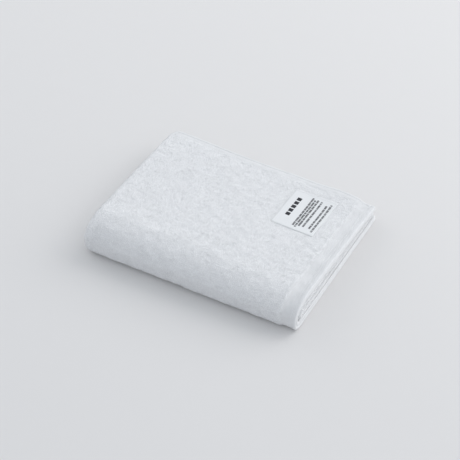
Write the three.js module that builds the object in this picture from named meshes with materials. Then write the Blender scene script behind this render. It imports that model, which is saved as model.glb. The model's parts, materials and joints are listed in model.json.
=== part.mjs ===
// A terry face towel, folded flat: in half and half again along its length,
// then in half across its width round the long front side.
// Millimetres, +Z up, +X towards the hem end, -Y towards the round front fold.
// The origin is under the middle of the towel, on the surface that it lies on.
import * as THREE from "three";

// The folded towel
const LENGTH = 216;
const WIDTH = 167;
const HEIGHT_AT_FRONT = { foldedEnd: 33.8, hemEnd: 31 };
const HEIGHT_AT_BACK = { foldedEnd: 21, hemEnd: 17.4 };
const CROWN = 12;

// The cloth
const PILE_THICKNESS = 2.8;
const FLAT_WEAVE_THICKNESS = 1.4;
const HEM_THICKNESS = 2.1;
const END_HEM = 15.5;
const TURNED_HEM = 7;
const SIDE_HEM = 9;
const LAYER_GAP = 0.45;

// How far the plies stand back from the end of the outer one, and the outer sides from the inmost one's
const STANDS_BACK = { outerTopHem: 1, secondHem: 2, middleFold: 3.5, outerSides: 2.5 };
const SIDE_UNEVEN = 1;

// The loose outer ply: soft waves, the sunk hem, the lifted back edge and the curled corner
const WAVE = 0.9;
const HEM_DIP = { front: 3, back: 1.6 };
const EDGE_LIFT = { height: 3, x: 78, reach: 34, startsAt: 0.72 };
const CORNER_CURL = { lift: 1.5, reach: 14 };

// The sewn-on label, on the top of the towel
const LABEL = { length: 42, width: 53, thickness: 1, gap: 0.35, x: 56.3, y: 36.5 };

// Levels are counted in plies out from the middle of the folded stack, radii in plies too
const LEVEL = { inmost: 0.5, third: 1.5, second: 2.5, outer: 3.5 };
const PLIES = 8;
const MIDDLE_TURN = { level: 1, radius: 0.5, steps: 6 };
const SMALL_TURN = { level: 2, radius: 0.5, steps: 6 };
const SMALL_TURN_INSET = 0.8;
const BIG_TURN = { level: 2, radius: 1.5, steps: 9 };

const RIGHT = LENGTH / 2;
const LEFT = -LENGTH / 2;
const FRONT = -WIDTH / 2;
const BACK = WIDTH / 2;
const PILE_EDGE = RIGHT - END_HEM;

const mix = THREE.MathUtils.lerp;
const clamp = THREE.MathUtils.clamp;
const smooth = THREE.MathUtils.smoothstep;

// Share of the way from the folded end to the hem end
function along(x) {
  return clamp((x - LEFT) / LENGTH, 0, 1);
}

function heightAtFront(x) {
  return mix(HEIGHT_AT_FRONT.foldedEnd, HEIGHT_AT_FRONT.hemEnd, along(x));
}

function heightAtBack(x) {
  return mix(HEIGHT_AT_BACK.foldedEnd, HEIGHT_AT_BACK.hemEnd, along(x));
}

// The fold is a quarter circle below and a longer, flatter quarter above, which ends at the crown line
function foldLine(x) {
  return FRONT + heightAtFront(x) / 2;
}

function crownLine(x) {
  return foldLine(x) + CROWN;
}

// The thin hems sink between the plush ends of the plies, most along the flat weave.
// back is 0 at the front fold and 1 at the side edges.
function hemDip(x, back) {
  const sunk = smooth(x, PILE_EDGE - 2, PILE_EDGE + 5);
  const raised = smooth(x, RIGHT - TURNED_HEM, RIGHT - 1);
  const uneven = 0.8 + 0.2 * Math.sin(14 * back + 0.6);
  return mix(HEM_DIP.front, HEM_DIP.back, back) * uneven * (sunk - 0.4 * raised);
}

// Height of the whole stack of plies
function height(x, back) {
  return mix(heightAtFront(x), heightAtBack(x), back) - hemDip(x, back);
}

// Distance between the middles of two plies, and the plush thickness that it leaves
function pitch(stack) {
  return Math.max((stack - PILE_THICKNESS) / (PLIES - 1), (stack + LAYER_GAP) / PLIES);
}

function plushThickness(stack) {
  return Math.min(PILE_THICKNESS, pitch(stack) - LAYER_GAP);
}

// Thickness of the cloth at an end hem: plush, then a flat weave, then the turned hem
function endHemThickness(x, plush, hemEnd) {
  const flat = smooth(x, hemEnd - END_HEM - 1, hemEnd - END_HEM + 1.5);
  const turned = smooth(x, hemEnd - TURNED_HEM - 1, hemEnd - TURNED_HEM + 1);
  const hem = mix(FLAT_WEAVE_THICKNESS, HEM_THICKNESS, turned);
  return mix(plush, Math.min(plush, hem), flat);
}

// How far the outer ply stands off the ply under it; upper is 0 below and 1 on top
function looseness(x, back, upper) {
  const waves = 0.5
    + 0.25 * Math.sin(x / 19 + 1.2 * Math.sin(back * 4.1))
    + 0.25 * Math.sin(x / 31 - back * 7.3 + 2);
  const beside = 1 - smooth(Math.abs(x - EDGE_LIFT.x), 0, EDGE_LIFT.reach);
  const edge = EDGE_LIFT.height * beside * smooth(back, EDGE_LIFT.startsAt, 1);
  const fromCorner = Math.hypot(RIGHT - x, (1 - back) * WIDTH);
  const curl = CORNER_CURL.lift * (1 - smooth(fromCorner, 0, CORNER_CURL.reach));
  return upper * (WAVE * waves + edge + curl);
}

// The cloth's way through the stack, as stations that each have a centre, a radius in pitches
// and an angle about the centre. side is the way that the face that starts outermost looks.
function clothPath() {
  const path = [];
  const run = (level, side, xs, hemEnd = null) => {
    xs.forEach((x) => path.push({ x, level, radius: 0, angle: 0, side, hemEnd }));
  };
  const turn = (x, { level, radius, steps }, from, to, side) => {
    for (let i = 1; i < steps; i += 1) {
      const angle = mix(from, to, i / steps) * Math.PI;
      path.push({ x, level, radius, angle, side, hemEnd: null });
    }
  };
  const beforeHem = (hemEnd) => [END_HEM + 3, END_HEM + 1, END_HEM - 2, END_HEM - 5, TURNED_HEM]
    .map((distance) => hemEnd - distance);
  const spaced = (from, to, steps) => Array.from({ length: steps + 1 }, (_, i) => mix(from, to, i / steps));

  const bigTurnX = LEFT + BIG_TURN.radius * pitch(height(LEFT, 0)) + PILE_THICKNESS / 2;
  const smallTurnX = bigTurnX + SMALL_TURN_INSET;
  const middleTurnX = RIGHT - STANDS_BACK.middleFold - pitch(height(RIGHT, 0.4));
  const secondHemEnd = RIGHT - STANDS_BACK.secondHem;

  // Outer ply, from its hem to the big turn
  const hemStations = [...beforeHem(RIGHT), RIGHT - 2.5, RIGHT];
  const plushStations = spaced(bigTurnX, RIGHT - END_HEM - 8, 13);
  run(LEVEL.outer, 1, [...plushStations, ...hemStations].reverse(), RIGHT);
  turn(bigTurnX, BIG_TURN, 0.5, 1.5, 1);

  // Inmost ply, out to the middle of the towel, and the third ply back
  const inner = [bigTurnX, mix(LEFT, RIGHT, 0.35), mix(LEFT, RIGHT, 0.65)];
  const out = [...inner, ...beforeHem(RIGHT).slice(0, 4), middleTurnX];
  run(LEVEL.inmost, -1, out);
  turn(middleTurnX, MIDDLE_TURN, -0.5, 0.5, 1);
  run(LEVEL.third, 1, [...out.slice(1).reverse(), smallTurnX]);

  // Small turn, nested in the big one, and the second ply out to the other hem
  turn(smallTurnX, SMALL_TURN, 1.5, 0.5, -1);
  run(LEVEL.second, -1, [smallTurnX, ...inner.slice(1), ...beforeHem(secondHemEnd), secondHemEnd], secondHemEnd);
  return path;
}

// The way across the cloth: under, round the front fold, and over the top.
// angle is 0 below and PI above.
function acrossPath() {
  const hemShare = SIDE_HEM / (WIDTH - HEIGHT_AT_FRONT.foldedEnd / 2);
  const edges = [1, 1 - hemShare * 0.4, 1 - hemShare, 1 - hemShare * 1.4];
  const under = [...edges, 0.7, 0.5, 0.3, 0.15];
  const over = [0.09, 0.19, 0.29, 0.39, 0.49, 0.6, 0.7, 0.8, ...[...edges].reverse()];
  const steps = 13;
  const fold = Array.from({ length: steps + 1 }, (_, i) => ({ back: 0, angle: (i / steps) * Math.PI }));
  return [
    ...under.map((back) => ({ back, angle: 0 })),
    ...fold,
    ...over.map((back) => ({ back, angle: Math.PI })),
  ];
}

// Where a place on a ply lies: q is its distance from the middle of the stack
function wrapped(x, q, stationX, stack, sideLine, { back, angle }) {
  const upperHalf = angle > Math.PI / 2;
  const start = upperHalf ? crownLine(stationX) : foldLine(stationX);
  const reach = upperHalf ? q + CROWN : q;
  const y = mix(start, sideLine, back) - reach * Math.sin(angle);
  return [x, y, stack / 2 - q * Math.cos(angle)];
}

// The two faces of the cloth at a station of its way and a place across it
function clothFaces(station, place) {
  const stack = height(station.x, place.back);
  const step = pitch(stack);
  const upper = place.angle / Math.PI;
  const level = station.level + station.radius * Math.sin(station.angle);
  const outerness = clamp(level - LEVEL.second, 0, 1);

  const plush = plushThickness(stack);
  const sideHem = smooth(place.back, 1 - (SIDE_HEM + 1) / WIDTH, 1 - (SIDE_HEM - 1) / WIDTH);
  let thickness = mix(plush, Math.min(plush, HEM_THICKNESS), sideHem);
  if (station.hemEnd !== null) {
    thickness = Math.min(thickness, endHemThickness(station.x, plush, station.hemEnd));
  }

  // A thin stretch of the outer ply lies on the floor below and on the next ply above
  const settle = outerness * ((plush - thickness) / 2) * (1 - 2 * upper);
  const q = step * level + settle + outerness * looseness(station.x, place.back, upper);

  const straight = station.radius === 0;
  const normalX = straight ? 0 : station.side * Math.cos(station.angle);
  const normalQ = straight ? station.side : station.side * Math.sin(station.angle);
  const hemShare = station.hemEnd === RIGHT ? smooth(station.x, PILE_EDGE, RIGHT) : 0;
  const x = station.x + station.radius * step * Math.cos(station.angle)
    - hemShare * upper * STANDS_BACK.outerTopHem;

  const outwards = (level - LEVEL.inmost) / (LEVEL.outer - LEVEL.inmost);
  const sideLine = BACK - STANDS_BACK.outerSides * outwards
    - SIDE_UNEVEN * (0.5 + 0.5 * Math.sin(station.x / 23 + level * 2 + upper * 2));

  return [thickness / 2, -thickness / 2].map((offset) => wrapped(
    x + normalX * offset, q + normalQ * offset, station.x, stack, sideLine, place,
  ));
}

// A closed sheet over a grid of rows and columns; faces gives the two points at each of them
function sheetGeometry(rows, columns, faces) {
  const positions = [];
  for (let i = 0; i < rows; i += 1) {
    for (let j = 0; j < columns; j += 1) {
      faces(i, j).forEach((point) => positions.push(...point));
    }
  }
  const at = (i, j, face) => (i * columns + j) * 2 + face;
  const index = [];
  const quad = (a, b, c, d) => index.push(a, c, b, a, d, c);
  const lastColumn = columns - 1;
  const lastRow = rows - 1;
  for (let i = 0; i < lastRow; i += 1) {
    for (let j = 0; j < lastColumn; j += 1) {
      quad(at(i, j, 0), at(i + 1, j, 0), at(i + 1, j + 1, 0), at(i, j + 1, 0));
      quad(at(i, j, 1), at(i, j + 1, 1), at(i + 1, j + 1, 1), at(i + 1, j, 1));
    }
    quad(at(i, 0, 1), at(i + 1, 0, 1), at(i + 1, 0, 0), at(i, 0, 0));
    quad(at(i, lastColumn, 0), at(i + 1, lastColumn, 0), at(i + 1, lastColumn, 1), at(i, lastColumn, 1));
  }
  for (let j = 0; j < lastColumn; j += 1) {
    quad(at(0, j, 0), at(0, j + 1, 0), at(0, j + 1, 1), at(0, j, 1));
    quad(at(lastRow, j, 1), at(lastRow, j + 1, 1), at(lastRow, j + 1, 0), at(lastRow, j, 0));
  }
  const geometry = new THREE.BufferGeometry();
  geometry.setAttribute("position", new THREE.Float32BufferAttribute(positions, 3));
  geometry.setIndex(index);
  geometry.computeVertexNormals();
  return geometry;
}

function clothGeometry() {
  const path = clothPath();
  const across = acrossPath();
  return sheetGeometry(path.length, across.length, (i, j) => clothFaces(path[i], across[j]));
}

// The top of the plush at a place behind the crown line, for what lies on it
function topAt(x, y) {
  const crown = crownLine(x);
  const back = clamp((y - crown) / (BACK - STANDS_BACK.outerSides - crown), 0, 1);
  return height(x, back) + looseness(x, back, 1);
}

function labelGeometry() {
  const steps = 8;
  return sheetGeometry(steps + 1, steps + 1, (i, j) => {
    const x = LABEL.x + (0.5 - i / steps) * LABEL.length;
    const y = LABEL.y + (j / steps - 0.5) * LABEL.width;
    const low = topAt(x, y) + LABEL.gap;
    return [[x, y, low + LABEL.thickness], [x, y, low]];
  });
}

const terryCloth = new THREE.MeshStandardMaterial({ color: 0xf1f3f5, roughness: 1, metalness: 0 });
const labelSatin = new THREE.MeshStandardMaterial({ color: 0xf7f8fa, roughness: 0.6, metalness: 0 });

const cloth = new THREE.Mesh(clothGeometry(), terryCloth);
cloth.name = "towel_cloth";
const label = new THREE.Mesh(labelGeometry(), labelSatin);
label.name = "label";

const towel = new THREE.Group();
towel.add(cloth, label);

export default towel;
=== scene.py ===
"""A folded terry face towel: its fine cloth, looped pile, seams and label. Metres, +Z up."""

import json
import math

import bpy
import numpy as np
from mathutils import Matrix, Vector, noise

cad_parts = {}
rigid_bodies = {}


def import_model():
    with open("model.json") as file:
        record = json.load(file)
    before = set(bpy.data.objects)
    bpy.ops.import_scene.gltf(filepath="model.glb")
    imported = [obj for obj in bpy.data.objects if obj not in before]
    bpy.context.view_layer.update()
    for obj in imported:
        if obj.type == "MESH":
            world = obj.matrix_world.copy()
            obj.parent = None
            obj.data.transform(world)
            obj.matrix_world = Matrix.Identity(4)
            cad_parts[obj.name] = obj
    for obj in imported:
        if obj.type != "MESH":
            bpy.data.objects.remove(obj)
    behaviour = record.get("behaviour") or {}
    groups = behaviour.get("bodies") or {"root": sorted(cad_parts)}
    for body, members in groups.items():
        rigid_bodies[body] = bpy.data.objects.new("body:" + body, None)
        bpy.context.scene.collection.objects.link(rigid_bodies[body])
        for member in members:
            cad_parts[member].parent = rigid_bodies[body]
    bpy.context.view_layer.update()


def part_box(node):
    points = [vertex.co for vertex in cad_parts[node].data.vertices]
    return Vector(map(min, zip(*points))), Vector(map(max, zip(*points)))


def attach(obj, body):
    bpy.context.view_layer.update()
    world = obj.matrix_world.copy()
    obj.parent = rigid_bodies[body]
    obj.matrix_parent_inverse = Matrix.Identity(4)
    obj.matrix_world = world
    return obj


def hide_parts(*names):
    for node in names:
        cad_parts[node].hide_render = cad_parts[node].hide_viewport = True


bl_info = {
    "name": "Folded Face Towel",
    "version": (1, 0, 0),
    "blender": (4, 5, 0),
    "location": "3D View > Sidebar > Towel",
    "description": "A terry face towel folded flat, with pile, hems, seams and a label",
    "category": "Add Mesh",
}

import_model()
CLOTH_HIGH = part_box("towel_cloth")[1]
LABEL_LOW, LABEL_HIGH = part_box("label")

MM = 0.001
PI = math.pi

# Levels are counted in plies out from the middle of the folded stack, radii in plies too
PLIES = 8
INMOST, THIRD, SECOND, OUTER = 0.5, 1.5, 2.5, 3.5
MIDDLE_TURN = {"level": 1, "radius": 0.5, "steps": 10}
SMALL_TURN = {"level": 2, "radius": 0.5, "steps": 10}
BIG_TURN = {"level": 2, "radius": 1.5, "steps": 18}

# The cloth's rows lie closer from this far inside the end of the pile
CLOSE_ROWS = 4 * MM

# How far the inner folds and hems lie in from the stack's outline
SMALL_TURN_INSET, MIDDLE_TURN_INSET = 0.8 * MM, 0.9 * MM
SECOND_HEM_INSET, TOP_HEM_INSET = 0.4 * MM, 0.5 * MM
SIDE_INSET, SIDE_WAVE = 2.5 * MM, 1 * MM

# The thin hems sink between the plies, and the top ply stands off the others in low waves
HEM_DIP_FRONT, HEM_DIP_BACK = 3 * MM, 1.6 * MM
TOP_WAVE, BACK_LIFT, CORNER_CURL = 0.9 * MM, 3 * MM, 0.6 * MM
LIFT_MIDDLE, LIFT_REACH, CURL_REACH = 78 * MM, 34 * MM, 14 * MM
BACK_LEFT_CORNER, BACK_RIGHT_CORNER = 12 * MM, 5 * MM

# The cloth's edges are rounded, pressed together at the hem end and dented by their seams
EDGE_ROUND, PRESSED_GAP = 0.8 * MM, 0.1 * MM
RIM = (0, 0.12 * MM, 0.35 * MM, 0.75 * MM, 1.2 * MM)
END_SEAM_INSET, SIDE_SEAM_INSET = 1.6 * MM, 5.4 * MM
DENT_WIDTH, DENT_DEPTH = 0.7 * MM, 0.28

# Rows of share of the relief, size of its bumps and noise seed
RELIEF_WAVES = [(0.6, 17 * MM, 3), (0.5, 7 * MM, 8), (0.45, 4.5 * MM, 14)]
PUCKER = 0.12 * MM

# Height of the loops for 1 on top: on the floor, how much it varies, and what the front adds
NAP_ON_FLOOR, NAP_WAVE, NAP_ROUND_FRONT = 0.45, 0.25, 1.0

# How far in from the outline the painted highlight on the rims at the back side and the hem end
# starts, and where it is full
END_HIGHLIGHT, SIDE_HIGHLIGHT = (2.5 * MM, 0.8 * MM), (5 * MM, 2.5 * MM)

# Shade of the ground under the pile; what the weave's height adds, which is painted shade in the
# hollows between threads (random tone from the fuzz on the pile); and what the rims add, a painted
# highlight where the light catches them
GROUND_SHADE, WEAVE_HOLLOW_SHADE, RIM_HIGHLIGHT = 0.83, 0.1, 0.07

# How the label bulges and waves, and how deep it sinks into the pile
LABEL_BULGE, LABEL_WAVE, LABEL_SINK = 0.3 * MM, 0.1 * MM, 0.15 * MM


class TowelCloth(bpy.types.PropertyGroup):
    """The cloth and the way it is folded"""

    flat_width: bpy.props.FloatProperty(
        name="Flat Width", description="Width of the towel laid out flat",
        default=0.34, unit="LENGTH")
    flat_length: bpy.props.FloatProperty(
        name="Flat Length", description="Length of the towel laid out flat",
        default=0.85, unit="LENGTH")
    front_height_folded: bpy.props.FloatProperty(
        name="Front Height, Folded End", description="Height of the round fold at the folded end",
        default=33.8 * MM, unit="LENGTH")
    front_height_hem: bpy.props.FloatProperty(
        name="Front Height, Hem End", description="Height of the round fold at the hem end",
        default=31 * MM, unit="LENGTH")
    back_height_folded: bpy.props.FloatProperty(
        name="Back Height, Folded End", description="Height of the stack at the back, folded end",
        default=21 * MM, unit="LENGTH")
    back_height_hem: bpy.props.FloatProperty(
        name="Back Height, Hem End", description="Height of the stack at the back, hem end",
        default=17.4 * MM, unit="LENGTH")
    crown: bpy.props.FloatProperty(
        name="Crown", description="Extra reach of the upper half of the round fold",
        default=12 * MM, unit="LENGTH")
    fullness: bpy.props.FloatProperty(
        name="Fold Fullness", description="Power of the lower front's curve, 1 for a plain round",
        default=0.62, min=0.3, max=1)
    plush: bpy.props.FloatProperty(
        name="Plush Thickness", description="Thickness of the cloth with its pile",
        default=2.8 * MM, unit="LENGTH")
    hem: bpy.props.FloatProperty(
        name="Hem Thickness", description="Thickness of the turned and sewn hem",
        default=2.1 * MM, unit="LENGTH")
    flat_weave: bpy.props.FloatProperty(
        name="Flat Weave Thickness", description="Thickness of the band between hem and pile",
        default=1.4 * MM, unit="LENGTH")
    end_hem: bpy.props.FloatProperty(
        name="End Hem", description="Width of the band without pile at the towel's ends",
        default=15.5 * MM, unit="LENGTH")
    turned_hem: bpy.props.FloatProperty(
        name="Turned Hem", description="Width of the turned and sewn edge at the towel's ends",
        default=7 * MM, unit="LENGTH")
    side_hem: bpy.props.FloatProperty(
        name="Side Hem", description="Width of the sewn edge along the towel's sides",
        default=9 * MM, unit="LENGTH")
    gap: bpy.props.FloatProperty(
        name="Gap", description="Least gap between two plies", default=0.45 * MM, unit="LENGTH")
    puffed: bpy.props.FloatProperty(
        name="Puffed Thickness", description="Most that a ply inside the stack puffs up to",
        default=3.8 * MM, unit="LENGTH")
    relief: bpy.props.FloatProperty(
        name="Relief", description="How far the plush surface rises and falls",
        default=0.45 * MM, unit="LENGTH")
    colour: bpy.props.FloatVectorProperty(
        name="Colour", description="Colour of the cotton", subtype="COLOR",
        size=3, min=0, max=1, default=(0.865, 0.87, 0.88))


class TowelPile(bpy.types.PropertyGroup):
    """The looped pile on the cloth"""

    spacing: bpy.props.FloatProperty(
        name="Spacing", description="Least distance between two loops", default=1.05 * MM,
        unit="LENGTH")
    width: bpy.props.FloatProperty(
        name="Loop Width", description="Width of a loop", default=1.5 * MM, unit="LENGTH")
    height: bpy.props.FloatProperty(
        name="Loop Height", description="How far a loop stands out", default=0.45 * MM,
        unit="LENGTH")
    yarn: bpy.props.FloatProperty(
        name="Yarn", description="Thickness of the loop's yarn", default=0.6 * MM,
        unit="LENGTH")
    lean: bpy.props.FloatProperty(
        name="Lean", description="How far a loop leans over", default=0.4, subtype="ANGLE")
    root: bpy.props.FloatProperty(
        name="Root Depth", description="How deep the pile's ground lies under its surface",
        default=0.2 * MM, unit="LENGTH")
    seed: bpy.props.IntProperty(name="Seed", description="Choice of loop places", default=7)


class TowelSeams(bpy.types.PropertyGroup):
    """The sewing of hems and label"""

    pitch: bpy.props.FloatProperty(
        name="Stitch Pitch", description="Distance from one stitch to the next",
        default=2.4 * MM, unit="LENGTH")
    thread: bpy.props.FloatProperty(
        name="Thread", description="Thickness of the sewing thread", default=0.32 * MM,
        unit="LENGTH")


class TowelLabel(bpy.types.PropertyGroup):
    """The label on the top ply"""

    thickness: bpy.props.FloatProperty(
        name="Thickness", description="Thickness of the label", default=0.22 * MM,
        unit="LENGTH")
    colour: bpy.props.FloatVectorProperty(
        name="Colour", description="Colour of the satin", subtype="COLOR",
        size=3, min=0, max=1, default=(0.745, 0.755, 0.765))
    ink: bpy.props.FloatVectorProperty(
        name="Ink", description="Colour of the printed bars", subtype="COLOR",
        size=3, min=0, max=1, default=(0.012, 0.013, 0.02))


class TowelStage(bpy.types.PropertyGroup):
    """The floor, the light and the camera"""

    azimuth: bpy.props.FloatProperty(
        name="Azimuth", description="Camera's way round the towel", subtype="ANGLE",
        default=math.radians(28.18))
    elevation: bpy.props.FloatProperty(
        name="Elevation", description="Camera's height over the floor", subtype="ANGLE",
        default=math.radians(45.06))
    distance: bpy.props.FloatProperty(
        name="Distance", description="From the camera to its target", default=2.291,
        unit="LENGTH")
    target: bpy.props.FloatVectorProperty(
        name="Target", description="Point on the floor in the middle of the picture",
        subtype="TRANSLATION", size=3, default=(-3.7 * MM, 5.26 * MM, 0))
    field: bpy.props.FloatProperty(
        name="Field of View", description="Camera's field of view", subtype="ANGLE",
        default=2 * math.atan(230 / 2500))
    floor_colour: bpy.props.FloatVectorProperty(
        name="Floor Colour", description="Colour of the floor", subtype="COLOR",
        size=3, min=0, max=1, default=(0.72, 0.71, 0.705))


def smooth(x, low, high):
    """0 below low, 1 above high and an even rise between them"""
    t = np.clip((x - low) / (high - low), 0, 1)
    return t * t * (3 - 2 * t)


def mix(a, b, share):
    return a + (b - a) * share


def ripple(points, size, seed):
    """Soft noise from -1 to 1 at an array of flat points, with bumps of about that size"""
    flat = np.asarray(points, float).reshape(-1, 2) / size
    values = [noise.noise(Vector((x, y, seed))) for x, y in flat]
    return np.array(values).reshape(np.shape(points)[:-1]) * 1.6


class Folds:
    """Where the cloth lies in the folded stack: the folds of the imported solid, with finer relief"""

    def __init__(self, cloth):
        self.cloth = cloth
        self.right = CLOTH_HIGH.x
        self.left = -CLOTH_HIGH.x
        self.back = CLOTH_HIGH.y
        self.front = -CLOTH_HIGH.y
        self.width = self.back - self.front
        self.pile_edge = self.right - cloth.end_hem

    def along(self, x):
        """Share of the way from the folded end to the hem end"""
        return np.clip((x - self.left) / (self.right - self.left), 0, 1)

    def front_height(self, x):
        return mix(self.cloth.front_height_folded, self.cloth.front_height_hem, self.along(x))

    def back_height(self, x):
        return mix(self.cloth.back_height_folded, self.cloth.back_height_hem, self.along(x))

    def fold_line(self, x):
        return self.front + self.front_height(x) / 2

    def crown_line(self, x):
        return self.fold_line(x) + self.cloth.crown

    def hem_dip(self, x, back):
        """The thin hems sink between the plush ends of the plies, most along the flat weave"""
        sunk = smooth(x, self.pile_edge - 2 * MM, self.pile_edge + 5 * MM)
        raised = smooth(x, self.right - self.cloth.turned_hem, self.right - 1 * MM)
        uneven = 0.8 + 0.2 * np.sin(14 * back + 0.6) + 0.16 * np.sin(31 * back + 2)
        return mix(HEM_DIP_FRONT, HEM_DIP_BACK, back) * uneven * (sunk - 0.4 * raised)

    def height(self, x, back):
        """Height of the whole stack of plies"""
        return mix(self.front_height(x), self.back_height(x), back) - self.hem_dip(x, back)

    def pitch(self, stack):
        """Distance between the middles of two plies"""
        return np.maximum((stack - self.cloth.plush) / (PLIES - 1),
                          (stack + self.cloth.gap) / PLIES)

    def looseness(self, x, back, upper):
        """How far the outer ply stands off the ply under it, on top"""
        waves = (0.5 + 0.25 * np.sin(x / (19 * MM) + 1.2 * np.sin(back * 4.1))
                 + 0.25 * np.sin(x / (31 * MM) - back * 7.3 + 2))
        beside = 1 - smooth(np.abs(x - LIFT_MIDDLE), 0, LIFT_REACH)
        edge = BACK_LIFT * beside * smooth(back, 0.72, 1)
        from_corner = np.hypot(self.right - x, (1 - back) * self.width)
        curl = CORNER_CURL * (1 - smooth(from_corner, 0, CURL_REACH))
        return upper * (TOP_WAVE * waves + edge + curl)

    def side_line(self, x, level, upper):
        """Where a ply's sewn side lies at the back"""
        outwards = (level - INMOST) / (OUTER - INMOST)
        uneven = 0.5 + 0.5 * np.sin(x / (23 * MM) + level * 2 + upper * 2)
        return self.back - SIDE_INSET * outwards - SIDE_WAVE * uneven

    def wrapped(self, x, q, station_x, stack, side_line, back, angle):
        """A point on a ply at distance q from the middle of the stack, with the back corners
        rounded"""
        upper_half = angle > PI / 2
        start = np.where(upper_half, self.crown_line(station_x), self.fold_line(station_x))
        reach = np.where(upper_half, q + self.cloth.crown, q)
        fullness = np.where(upper_half, 1, self.cloth.fullness)
        cosine = np.cos(angle)
        y = mix(start, side_line, back) - reach * np.sin(angle) ** fullness
        z = stack / 2 - q * np.sign(cosine) * np.abs(cosine) ** fullness
        for side, radius in ((-1, BACK_LEFT_CORNER), (1, BACK_RIGHT_CORNER)):
            near = np.clip(1 - (self.right - side * x) / (3 * radius), 0, 1)
            past = np.clip(y - self.back + radius, 0, 0.97 * radius)
            x = x - side * near * (radius - np.sqrt(radius ** 2 - past ** 2))
        return np.stack(np.broadcast_arrays(x, y, z), axis=-1)

    def stations(self, plush_steps, hem_steps):
        """The cloth's way through the stack: rows of x, level, radius, angle, side and hem end"""
        cloth = self.cloth
        rows = []

        def run(level, side, xs, hem_end=math.nan):
            rows.extend((x, level, 0, 0, side, hem_end) for x in xs)

        def turn(x, shape, start, end, side):
            for i in range(1, shape["steps"]):
                angle = mix(start, end, i / shape["steps"]) * PI
                rows.append((x, shape["level"], shape["radius"], angle, side, math.nan))

        big_x = (self.left + BIG_TURN["radius"] * self.pitch(self.height(self.left, 0))
                 + cloth.plush / 2)
        small_x = big_x + SMALL_TURN_INSET
        middle_x = self.right - MIDDLE_TURN_INSET - self.pitch(self.height(self.right, 0.4))
        second_end = self.right - SECOND_HEM_INSET
        edge = self.pile_edge - CLOSE_ROWS

        rim = np.array(RIM[::-1])
        plush = np.linspace(big_x, edge, plush_steps + 1)[:-1]
        hem = np.append(np.linspace(edge, self.right - 1.8 * MM, hem_steps), self.right - rim)
        run(OUTER, 1, np.concatenate([plush, hem])[::-1], self.right)
        turn(big_x, BIG_TURN, 0.5, 1.5, 1)

        inner = np.linspace(big_x, edge, 9)
        out = np.concatenate([inner[:-1], np.linspace(edge, middle_x, 9)])
        run(INMOST, -1, out)
        turn(middle_x, MIDDLE_TURN, -0.5, 0.5, 1)
        run(THIRD, 1, np.concatenate([out[:0:-1], [small_x]]))
        turn(small_x, SMALL_TURN, 1.5, 0.5, -1)
        tail = np.append(np.linspace(edge - 2 * MM, second_end - 1.8 * MM, 15), second_end - rim)
        run(SECOND, -1, np.concatenate([[small_x], inner[1:-1], tail]), second_end)
        return np.array(rows).T[:, :, None]

    def places(self):
        """The way across the cloth: under, round the front fold and over the top"""
        hem = np.append(RIM, np.linspace(1.9 * MM, 1.5 * self.cloth.side_hem, 12))
        edge = 1 - hem / self.width
        inmost = edge[-1] - 0.01
        under = np.concatenate([edge, np.linspace(inmost, 0.05, 26)])
        over = np.concatenate([np.linspace(0.012, inmost, 72), edge[::-1]])
        fold = np.linspace(0, PI, 33)
        back = np.concatenate([under, np.zeros(33), over])
        angle = np.concatenate([np.zeros(len(under)), fold, np.full(len(over), PI)])
        return back[None], angle[None]

    def facts(self, stations, places):
        """What the cloth is like at each station and place"""
        x, level, radius, angle, _, hem_end = stations
        back, round_angle = places
        cloth = self.cloth
        stack = self.height(x, back)
        step = self.pitch(stack)
        upper = round_angle / PI
        true_level = level + radius * np.sin(angle)
        outerness = np.clip(true_level - SECOND, 0, 1)
        from_side = (1 - back) * self.width
        from_end = np.where(np.isnan(hem_end), 1, hem_end - x)
        side_hem = 1 - smooth(from_side, cloth.side_hem - 1 * MM, cloth.side_hem + 1 * MM)
        flat = 1 - smooth(from_end, cloth.end_hem - 1.5 * MM, cloth.end_hem + 1 * MM)
        return {"x": x, "back": back, "stack": stack, "step": step, "upper": upper,
                "level": true_level, "outerness": outerness, "from_side": from_side,
                "from_end": from_end, "side_hem": side_hem, "flat": flat,
                "plush": (1 - side_hem) * (1 - flat)}

    def thickness(self, at):
        """Thickness of the cloth: plush, flat weave, turned hems, and the dents of their seams"""
        cloth = self.cloth
        plush = np.minimum(cloth.plush, at["step"] - cloth.gap)
        turned = 1 - smooth(at["from_end"], cloth.turned_hem - 1 * MM, cloth.turned_hem + 1 * MM)
        end = mix(cloth.flat_weave, cloth.hem, turned)
        side = mix(plush, np.minimum(plush, cloth.hem), at["side_hem"])
        thick = np.minimum(side, mix(plush, np.minimum(plush, end), at["flat"]))
        seams = (np.exp(-((at["from_end"] - self.end_seam) / DENT_WIDTH) ** 2)
                 + np.exp(-((at["from_side"] - self.side_seam) / DENT_WIDTH) ** 2))
        return plush, thick * (1 - DENT_DEPTH * np.clip(seams, 0, 1))

    @property
    def end_seam(self):
        """Distance of the end hem's seam from its edge"""
        return self.cloth.turned_hem - END_SEAM_INSET

    @property
    def side_seam(self):
        """Distance of the side hem's seam from its edge"""
        return self.cloth.side_hem - SIDE_SEAM_INSET

    def nose(self, at):
        """How far the cloth has thinned towards its rounded edges, from 1 to almost 0"""
        share = 1
        for distance in (at["from_end"], at["from_side"]):
            near = np.clip(distance / EDGE_ROUND, 0.06, 1)
            share = share * np.sqrt(1 - (1 - near) ** 2)
        return share

    def faces(self, stations, places, cut=0):
        """The cloth's two faces. The outermost one is the solid's, and lies deeper by cut.
        The others puff up until the plies nearly touch"""
        at = self.facts(stations, places)
        x, _, radius, angle, side, hem_end = stations
        back, round_angle = places
        step, level = at["step"], at["level"]
        plush, thick = self.thickness(at)
        straight = radius == 0
        normal_x = np.where(straight, 0, side * np.cos(angle))
        normal_q = np.where(straight, side, side * np.sin(angle))
        outer_hem = np.where(hem_end == self.right, smooth(x, self.pile_edge, self.right), 0)
        middle_x = x + radius * step * np.cos(angle) - outer_hem * at["upper"] * TOP_HEM_INSET

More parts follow.
